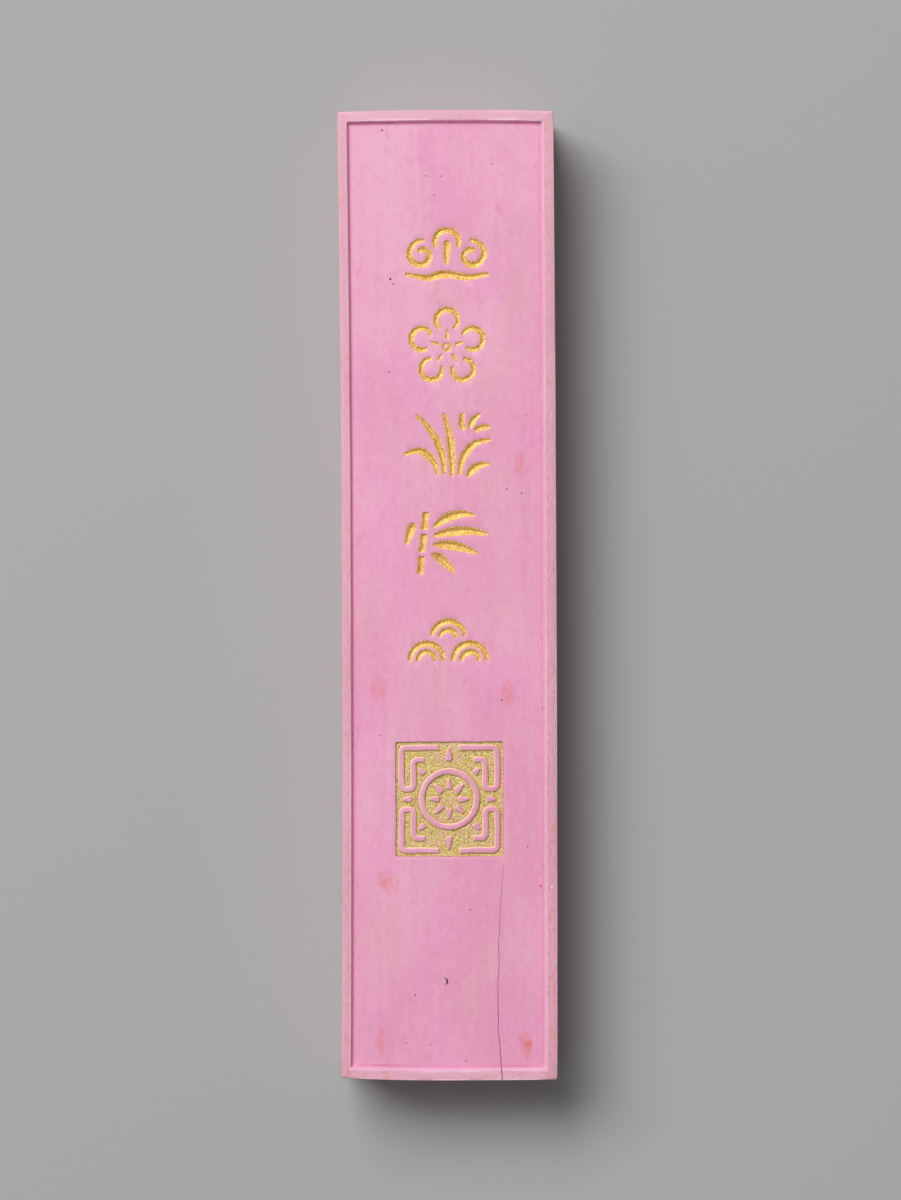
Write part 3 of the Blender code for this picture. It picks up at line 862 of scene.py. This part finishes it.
@dataclass
class Fissures:
    """Hairline crack, nick and pores that drying left in the front panel."""

    panel_z: float
    top_z: float
    crack_width: float = 0.075 * MM
    crack_depth: float = 0.16 * MM
    nick_width: float = 0.2 * MM
    nick_least: float = 0.1
    nick_depth: float = 0.35 * MM
    tremor: float = 0.05 * MM
    tremor_rate: float = 1.3
    overcut: float = 0.3 * MM
    hairline: float = 0.35
    cuts: int = 3
    pore_stretch: float = 2.6
    pore_subdivisions: int = 2
    crack: Route = (
        (5.45, -27.0), (5.3, -29.0), (5.05, -32.0), (4.95, -35.0),
        (4.85, -39.0), (4.85, -43.5), (5.1, -46.2), (5.3, -49.0),
    )
    nick: Route = ((-0.62, -38.2), (-0.4, -38.5), (-0.36, -38.85), (-0.55, -39.1))
    pores: tuple[Triple, ...] = (
        (-3.5, -40.0, 0.08), (-6.4, 46.6, 0.1), (-2.0, 42.0, 0.07), (-0.5, 42.0, 0.07), (-1.2, 40.1, 0.06),
        (-5.7, 31.7, 0.12), (-5.4, 31.2, 0.08), (5.9, 10.6, 0.07), (7.4, 10.2, 0.09), (5.3, -10.5, 0.08),
        (-5.9, 22.4, 0.07), (6.6, 36.3, 0.06), (-7.0, -14.0, 0.07), (2.1, -31.5, 0.07), (7.9, -25.2, 0.07),
        (-4.4, -44.8, 0.07), (1.6, -46.6, 0.08), (-1.9, -45.0, 0.06), (4.6, 43.2, 0.06), (8.0, 18.0, 0.06),
    )

    def _add_blade(
        self,
        mesh: bmesh.types.BMesh,
        route: Route,
        floor: float,
        top: float,
        width_at: Callable[[float], float],
    ) -> None:
        """Add an upright blade that follows a route down the stick.

        Args:
            mesh: The cutters' mesh.
            route: Points of the route, in millimetres.
            floor: Height of the blade's lower edge.
            top: Height of its upper edge.
            width_at: Thickness at a share of the route's length.
        """
        blade = bmesh.new()
        verts = [blade.verts.new((x * MM, y * MM, floor)) for x, y in route]
        edges = [blade.edges.new(pair) for pair in zip(verts, verts[1:])]
        bmesh.ops.subdivide_edges(blade, edges=edges, cuts=self.cuts)
        for vert in blade.verts:
            vert.co.x += self.tremor * noise.noise(vert.co / MM * self.tremor_rate)
        raised = bmesh.ops.extrude_edge_only(blade, edges=blade.edges[:])["geom"]
        for vert in (part for part in raised if isinstance(part, bmesh.types.BMVert)):
            vert.co.z = top
        start, end = route[0][1] * MM, route[-1][1] * MM
        aside = bmesh.ops.extrude_face_region(blade, geom=blade.faces[:], use_keep_orig=True)["geom"]
        for vert in (part for part in aside if isinstance(part, bmesh.types.BMVert)):
            vert.co.x += width_at((vert.co.y - start) / (end - start))
        bmesh.ops.recalc_face_normals(blade, faces=blade.faces)
        part = baked(blade, "blade")
        mesh.from_mesh(part)
        bpy.data.meshes.remove(part)

    def crack_at(self, share: float) -> float:
        """Width of the crack, which opens towards the foot."""
        return self.crack_width * (self.hairline + (1 - self.hairline) * share)

    def nick_at(self, share: float) -> float:
        """Width of the nick, which is a crescent."""
        return self.nick_width * (self.nick_least + math.sin(math.pi * min(1.0, max(0.0, share))))

    def cutter(self) -> bpy.types.Mesh:
        """Closed mesh of the crack, the nick and the pores."""
        mesh = bmesh.new()
        above_panel, above_rim = self.panel_z + self.overcut, self.top_z + self.overcut
        self._add_blade(mesh, self.crack, self.panel_z - self.crack_depth, above_rim, self.crack_at)
        self._add_blade(mesh, self.nick, self.panel_z - self.nick_depth, above_panel, self.nick_at)
        deep = Matrix.Diagonal((1.0, 1.0, self.pore_stretch, 1.0))
        for x, y, radius in self.pores:
            place = Matrix.Translation((x * MM, y * MM, self.panel_z)) @ deep
            bmesh.ops.create_icosphere(
                mesh, subdivisions=self.pore_subdivisions, radius=radius * MM, matrix=place
            )
        return baked(mesh, "fissures")


@dataclass
class InkBlock:
    """The pressed block with its rims, panels and engraving."""

    drying: Drying
    rim_width: float = 0.9 * MM
    end_rim_width: float = 1.03 * MM
    head_bow: float = 0.12 * MM
    foot_bow: float = 0.28 * MM
    wall_run: float = 0.16 * MM
    panel_depth: float = 0.45 * MM
    edge_radius: float = 0.23 * MM
    crisp_radius: float = 0.09 * MM
    corner_plain: float = 0.6 * MM
    corner_rise: float = 1.2 * MM
    line_round: Rounding = Rounding(0.18 * MM, 4)
    ridge_round: Rounding = Rounding(0.13 * MM, 3)
    brim_round: Rounding = Rounding(0.045 * MM, 2)
    foot_round: Rounding = Rounding(0.2 * MM, 4)
    ring_reach: Reach = (2.35 * MM, 3.25 * MM)
    fret_from: Reach = (3.2 * MM, 3.45 * MM)
    fret_gap: float = 0.65 * MM
    near: float = 0.08 * MM
    ornament_margin: float = 0.35 * MM
    plain_edge: float = 1.0 * MM
    rim_slices: tuple[float, ...] = (0.5, 0.85, 1.35, 1.6, 1.9)
    medallion_slices: int = 32
    gilt_drop: float = 0.04 * MM
    pit_reach: float = 0.03 * MM
    seam_reach: float = 0.22 * MM
    foot_reach: float = 0.13 * MM
    arris_reach: float = 0.09 * MM
    unshaded_arris_reach: float = 0.16 * MM
    wobble: float = 0.014 * MM
    broad_rate: float = 0.12
    fine_rate: float = 0.9
    fine_share: float = 0.6
    top_share: float = 0.7
    sharp: float = math.radians(38.0)

    def __post_init__(self) -> None:
        """Take the block's box and the ornaments' boxes from the frame."""
        self.low, self.high = (Vector(corner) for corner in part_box(BLOCK_NODE))
        self.panel_z = self.high.z - self.panel_depth
        boxes: dict[str, tuple[Vector, Vector]] = {}
        for node in gilt_nodes():
            name = node.split("_")[1]
            low, high = (Vector(corner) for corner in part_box(node))
            if name in boxes:
                low = Vector(map(min, low, boxes[name][0]))
                high = Vector(map(max, high, boxes[name][1]))
            boxes[name] = (low, high)
        self.ornaments = list(boxes.values())
        self.medallion = boxes["medallion"]

    def by_end(self, point: Vector) -> bool:
        """Whether a point lies nearer to the head or the foot than to the sides."""
        return self.high.y - abs(point.y) < self.high.x - abs(point.x)

    def shaded(self, point: Vector) -> bool:
        """Whether a point lies nearest to the left or the head rim."""
        return point.y > 0 if self.by_end(point) else point.x < 0

    def to_end(self, point: Vector) -> float:
        """Distance of a point from the bowed end that is nearer to it."""
        bow = self.head_bow if point.y > 0 else self.foot_bow
        return self.high.y - bow * (point.x / self.high.x) ** 2 - abs(point.y)

    def inside(self, point: Vector, side_inset: float, end_inset: float) -> float:
        """Distance of a point inside the block's outline, drawn in by the insets, seen from the front."""
        return min(self.high.x - side_inset - abs(point.x), self.to_end(point) - end_inset)

    def past_rim(self, point: Vector) -> float:
        """Distance of a point inside the inner edge of the rim, below 0 on the rim."""
        return self.inside(point, self.rim_width, self.end_rim_width)

    def on_panel(self, point: Vector) -> bool:
        """Whether a point lies at the height of the front panel."""
        return abs(point.z - self.panel_z) < self.near

    def _in_box(self, point: Vector, box: tuple[Vector, Vector], margin: float) -> bool:
        """Whether a point lies in a box that is grown by the margin, seen from the front."""
        low, high = box
        across = low.x - margin < point.x < high.x + margin
        return across and low.y - margin < point.y < high.y + margin

    def in_ornament(self, point: Vector) -> bool:
        """Whether a point lies in or beside an ornament, seen from the front."""
        return any(self._in_box(point, box, self.ornament_margin) for box in self.ornaments)

    def on_ridge(self, point: Vector) -> bool:
        """Whether a point lies at the top of the medallion's raised lines."""
        return self.on_panel(point) and self._in_box(point, self.medallion, -self.near)

    def on_line(self, point: Vector) -> bool:
        """Whether a point lies at the top of the medallion's ring or frets."""
        centre = (self.medallion[0] + self.medallion[1]) / 2
        across, along = abs(point.x - centre.x), abs(point.y - centre.y)
        near, far = self.ring_reach
        ring = near < math.hypot(across, along) < far
        outside = across > self.fret_from[0] or along > self.fret_from[1]
        fret = outside and min(across, along) > self.fret_gap
        return self.on_ridge(point) and (ring or fret)

    def in_stroke(self, point: Vector) -> bool:
        """Whether a point lies at the brim of an engraved stroke or of the medallion."""
        return self.on_panel(point) and self.in_ornament(point) and not self.on_ridge(point)

    def at_foot(self, point: Vector) -> bool:
        """Whether a point lies at the foot of the front panel's wall."""
        return self.on_panel(point) and abs(self.past_rim(point) - self.wall_run) < self.rim_width / 2

    def rim_mask(self, point: Vector) -> float:
        """1 on the raised rims and the sides, 0 on the panels."""
        half = self.panel_depth / 2
        raised = point.z > self.panel_z + half or point.z < self.low.z + half
        return float(raised or self.past_rim(point) < -self.rim_width / 2)

    def end_mask(self, point: Vector) -> float:
        """1 on the head and foot rims, 0 on the side rims."""
        return float(self.by_end(point))

    def lit_wall_mask(self, point: Vector) -> float:
        """1 on the walls that face the light, which take a painted highlight."""
        inner = -self.arris_reach < self.past_rim(point) < self.wall_run
        return float(inner and not self.shaded(point))

    def lit_foot_dirt_and_shade_mask(self, point: Vector) -> float:
        """1 at the foot of the walls that face the light, falling to 0 away from it: a darker band there,
        partly a dirty seam and partly painted shade.
        """
        away = abs(self.past_rim(point) - self.wall_run - self.foot_reach)
        return 0.0 if self.shaded(point) else max(0.0, 1.0 - away / self.foot_reach)

    def shaded_seam_bounce_light_mask(self, point: Vector) -> float:
        """1 at the foot of the walls that face away from the light, falling to 0 away from it, where painted
        reflected pink light lifts the shade.
        """
        away = abs(self.past_rim(point) - self.wall_run)
        return max(0.0, 1.0 - away / self.seam_reach) if self.shaded(point) else 0.0

    def arris_mask(self, point: Vector) -> float:
        """1 along the outer and inner edges of the rims, which are pale partly from wear and partly from a
        painted highlight.
        """
        # The painted highlight and wear reach further in on the outer edges away from the left and the head.
        reach = self.arris_reach if self.shaded(point) else self.unshaded_arris_reach
        level = min(self.high.z - point.z, point.z - self.low.z)
        outer = max(level, self.inside(point, 0.0, 0.0)) < reach
        inner = max(level, abs(self.past_rim(point))) < self.arris_reach
        return float(outer or inner)

    def below_panel(self, point: Vector, depth: float) -> bool:
        """Whether a point lies deeper than this in the front panel, and not at the back."""
        return self.low.z + self.panel_depth < point.z < self.panel_z - depth

    def gilt_mask(self, point: Vector) -> float:
        """1 on the flanks of the medallion's raised lines, where gold ran up from the ground."""
        flank = self.below_panel(point, self.gilt_drop)
        return float(flank and self._in_box(point, self.medallion, self.near))

    def pit_shade_mask(self, point: Vector) -> float:
        """1 at the bottom of the crack, the nick and the pores, where shade is painted."""
        plain = not self.in_ornament(point) and self.past_rim(point) > self.wall_run
        return float(plain and self.below_panel(point, self.pit_reach))

    def crisp(self, point: Vector) -> Vector:
        """Place of a point of the front's outer edge, which is sharper than drawn away from the corners.

        Args:
            point: Its place as drawn.

        Returns:
            Its place on the sharper edge.
        """
        place = point.copy()
        side, end = self.high.x - abs(point.x), self.to_end(point)
        inset, along = min(side, end), max(side, end)
        depth = self.high.z - point.z
        if max(inset, depth) > self.edge_radius:
            return place
        share = min(1.0, max(0.0, (along - self.corner_plain) / self.corner_rise))
        gain = share * (1.0 - self.crisp_radius / self.edge_radius)
        place.z += depth * gain
        if side < end:
            place.x += math.copysign(inset * gain, point.x)
        else:
            place.y += math.copysign(inset * gain, point.y)
        return place

    def worn(self, point: Vector) -> Vector:
        """Place of a point after handling wore the rims and sides a little, and drying moved them."""
        place = self.crisp(point)
        if self.past_rim(point) < self.rim_width:
            broad, fine = unevenness(point, self.broad_rate), unevenness(point, self.fine_rate)
            loss = self.wobble * (broad + self.fine_share * fine)
            if self.by_end(point):
                place.y -= math.copysign(loss, point.y)
            else:
                place.x -= math.copysign(loss, point.x)
            if point.z > self.panel_z:
                place.z -= loss * self.top_share * (point.z - self.panel_z) / self.panel_depth
        return self.drying.moved(place)

    def slices(self, axis: int) -> list[float]:
        """Places to cut along an axis: evenly, beside the rims, and closely in the medallion."""
        half = self.high[axis]
        count = round(2 * half / self.plain_edge)
        even = [half * (2 * step / count - 1) for step in range(1, count)]
        beside = [side * (half - self.rim_width * share) for share in self.rim_slices for side in (1, -1)]
        low, high = (corner[axis] for corner in self.medallion)
        steps = range(1, self.medallion_slices)
        return even + beside + [low + (high - low) * step / self.medallion_slices for step in steps]

    def build(self) -> bpy.types.Object:
        """The dressed block, which stands for its CAD node."""
        draft = Draft(BLOCK_NODE)
        draft.dissolve()
        draft.round_edges(self.on_line, self.line_round, self.sharp, clamp=False)
        draft.round_edges(self.on_ridge, self.ridge_round, self.sharp)
        draft.round_edges(self.in_stroke, self.brim_round, self.sharp)
        draft.round_edges(self.at_foot, self.foot_round, self.sharp)
        for axis in range(2):
            draft.slice(axis, self.slices(axis))
        draft.subtract(Fissures(self.panel_z, self.high.z).cutter())
        draft.merge_close()
        draft.triangulate()
        for mask in MASKS:
            draft.store(mask, getattr(self, f"{mask}_mask"))
        draft.move(self.worn)
        block = draft.finish("dressed_ink_block", self.sharp)
        dress(block, InkPaste().material(), BLOCK_NODE, Slot.INK)
        return block


def gilt_nodes() -> list[str]:
    """Names of the nodes of gold film."""
    return sorted(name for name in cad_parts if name.startswith(GILT_PREFIX))


@dataclass
class GiltFilms:
    """The films of gold in the engraved strokes and on the medallion's ground."""

    drying: Drying
    edge: float = 0.09 * MM
    grain_height: float = 0.016 * MM
    grain_rate: float = 7.0
    sharp: float = math.radians(60.0)

    def roughened(self, point: Vector) -> Vector:
        """Place of a point of the film with the paint's grain, after drying."""
        grain = noise.noise_vector(point / MM * self.grain_rate)
        return self.drying.moved(point + grain * self.grain_height)

    def film(self, node: str, gilding: Gilding) -> bpy.types.Object:
        """One film with its grain.

        Args:
            node: Its CAD node.
            gilding: Where it lies.

        Returns:
            The film, not dressed yet.
        """
        draft = Draft(node)
        if gilding is Gilding.GROUND:
            draft.dissolve()
            low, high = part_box(node)
            for axis in range(2):
                count = round((high[axis] - low[axis]) / self.edge)
                step = (high[axis] - low[axis]) / count
                draft.slice(axis, [low[axis] + step * i for i in range(1, count)])
            draft.triangulate()
        else:
            draft.refine(self.edge)
        draft.move(self.roughened)
        return draft.finish(f"dressed_{node}", self.sharp)

    def build(self) -> list[bpy.types.Object]:
        """The dressed films, each of which stands for its CAD node."""
        materials = {paint.gilding: paint.material() for paint in GOLD_PAINTS}
        films = []
        for node in gilt_nodes():
            gilding = Gilding.GROUND if node.startswith(GROUND_PREFIX) else Gilding.STROKE
            film = self.film(node, gilding)
            dress(film, materials[gilding], node, Slot.GOLD)
            films.append(film)
        return films


@dataclass
class Studio:
    """Grey floor, one large soft lamp at the upper left, even fill and the camera above."""

    face_z: float
    floor_grey: Colour = srgb(168, 168, 168)
    floor_roughness: float = 0.9
    floor_shine: float = 0.1
    floor_reach: float = 3.0
    fill: float = 0.228
    lamp_place: Triple = (-0.483, 0.584, 0.976)
    lamp_aim: Triple = (0.666, -1.374, 0.0)
    lamp_size: tuple[float, float] = (0.905, 0.729)
    lamp_power: float = 19.4
    lens: float = 100.0
    sensor: float = 36.0
    nearest: float = 1.0 * MM
    image_height: float = 1200.0
    pixels_per_mm: float = 10.0
    view_centre: tuple[float, float] = (0.24 * MM, -0.47 * MM)
    roll: float = math.radians(-0.25)

    def floor(self) -> None:
        """Lay the floor."""
        s = Shader("grey floor")
        s.set(Base_Color=self.floor_grey, Roughness=self.floor_roughness, Specular_IOR_Level=self.floor_shine)
        mesh = bmesh.new()
        bmesh.ops.create_grid(mesh, x_segments=1, y_segments=1, size=self.floor_reach)
        floor = placed("floor", baked(mesh, "floor"))
        floor.data.materials.append(s.material)

    def lamp(self) -> None:
        """Hang the lamp."""
        lamp = bpy.data.lights.new("softbox", "AREA")
        lamp.shape = "RECTANGLE"
        lamp.size, lamp.size_y = self.lamp_size
        lamp.energy = self.lamp_power
        obj = placed("softbox", lamp)
        back = Vector(self.lamp_place) - Vector(self.lamp_aim)
        obj.location = self.lamp_place
        obj.rotation_euler = back.to_track_quat("Z", "Y").to_euler()

    def world(self) -> None:
        """Set the even fill, with the floor's grey where the world itself is seen or mirrored."""
        world = bpy.data.worlds.new("even fill")
        world.use_nodes = True
        nodes = Nodes(world.node_tree)
        seen, mirrored, through = (
            nodes.add("ShaderNodeLightPath", {}, {}, f"Is {ray} Ray")
            for ray in ("Camera", "Glossy", "Transmission")
        )
        shown = (seen + mirrored + through).clamp()
        colour = nodes.mix(shown, (self.fill, self.fill, self.fill), self.floor_grey)
        nodes.feed(world.node_tree.nodes["Background"].inputs["Color"], colour)
        bpy.context.scene.world = world

    def camera(self) -> None:
        """Place the camera straight above the stick."""
        camera = bpy.data.cameras.new("camera")
        camera.lens = self.lens
        camera.sensor_width = self.sensor
        camera.clip_start = self.nearest
        view_height = self.image_height / self.pixels_per_mm * MM
        distance = view_height * self.lens / self.sensor
        obj = placed("camera", camera)
        obj.location = (*self.view_centre, self.face_z + distance)
        obj.rotation_euler = (0.0, 0.0, self.roll)
        bpy.context.scene.camera = obj


def main() -> None:
    """Build and dress the stick, then set the stage."""
    logging.basicConfig(level=logging.INFO, format="%(message)s")
    noise.seed_set(NOISE_SEED)
    bpy.context.scene.view_settings.view_transform = "Standard"
    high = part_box(BLOCK_NODE)[1]
    drying = Drying(high[0], high[1])
    block = InkBlock(drying).build()
    LOG.info("%s: %d faces", block.name, len(block.data.polygons))
    for film in GiltFilms(drying).build():
        LOG.info("%s: %d faces", film.name, len(film.data.polygons))
    studio = Studio(high[2])
    studio.floor()
    studio.lamp()
    studio.world()
    studio.camera()


if __name__ == "__main__":
    main()
